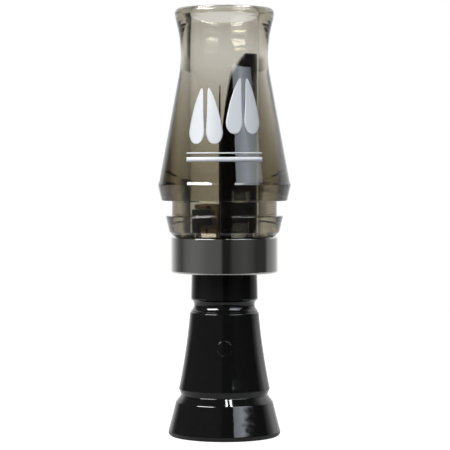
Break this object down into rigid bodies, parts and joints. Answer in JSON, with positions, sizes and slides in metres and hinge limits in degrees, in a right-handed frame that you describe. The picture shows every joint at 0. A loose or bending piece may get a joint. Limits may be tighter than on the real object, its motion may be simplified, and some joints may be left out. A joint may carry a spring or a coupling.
{
  "type": "deer grunt call",
  "caption": "Deer grunt call: clear smoke barrel with lanyard groove and metal band, pulled over a black flared insert with tone board, reed and cork wedge.",
  "frame": {"origin": "centre of the bell's flat base, on the bore axis", "axes": "+Z along the bore towards the mouth end, +X towards the back of the tone board, -Y the side that carries the print"},
  "size_m": [0.0384, 0.0384, 0.123],
  "materials": {
    "smoke_plastic": "clear moulded polycarbonate with a grey-brown smoke tint, polished",
    "polished_metal": "polished bright metal, fine turning marks",
    "black_plastic": "glossy black plastic",
    "reed_film": "thin translucent polyester film",
    "cork": "fine-grained brown cork",
    "rubber": "black nitrile rubber"
  },
  "bodies": {
    "insert": {"insert": "black_plastic", "tone_board": "black_plastic", "cork_wedge": "cork"},
    "reed": {"reed": "reed_film"},
    "seals": {"o_ring_lower": "rubber", "o_ring_upper": "rubber"},
    "barrel": {"barrel": "smoke_plastic", "band": "polished_metal"}
  },
  "joints": [
    {"name": "barrel_turn", "type": "hinge", "parent": "insert", "child": "seals", "pos_m": [0, 0, 0.0522], "axis": [0, 0, 1], "continuous": true},
    {"name": "barrel_pull", "type": "slide", "parent": "seals", "child": "barrel", "axis": [0, 0, 1], "range_m": [0, 0.066]},
    {"name": "reed_flex", "type": "hinge", "parent": "insert", "child": "reed", "pos_m": [-0.00133, 0, 0.0668], "axis": [0, 1, 0], "range_deg": [-0.8, 0.5], "stiffness_Nm_per_rad": 0.0121}
  ]
}
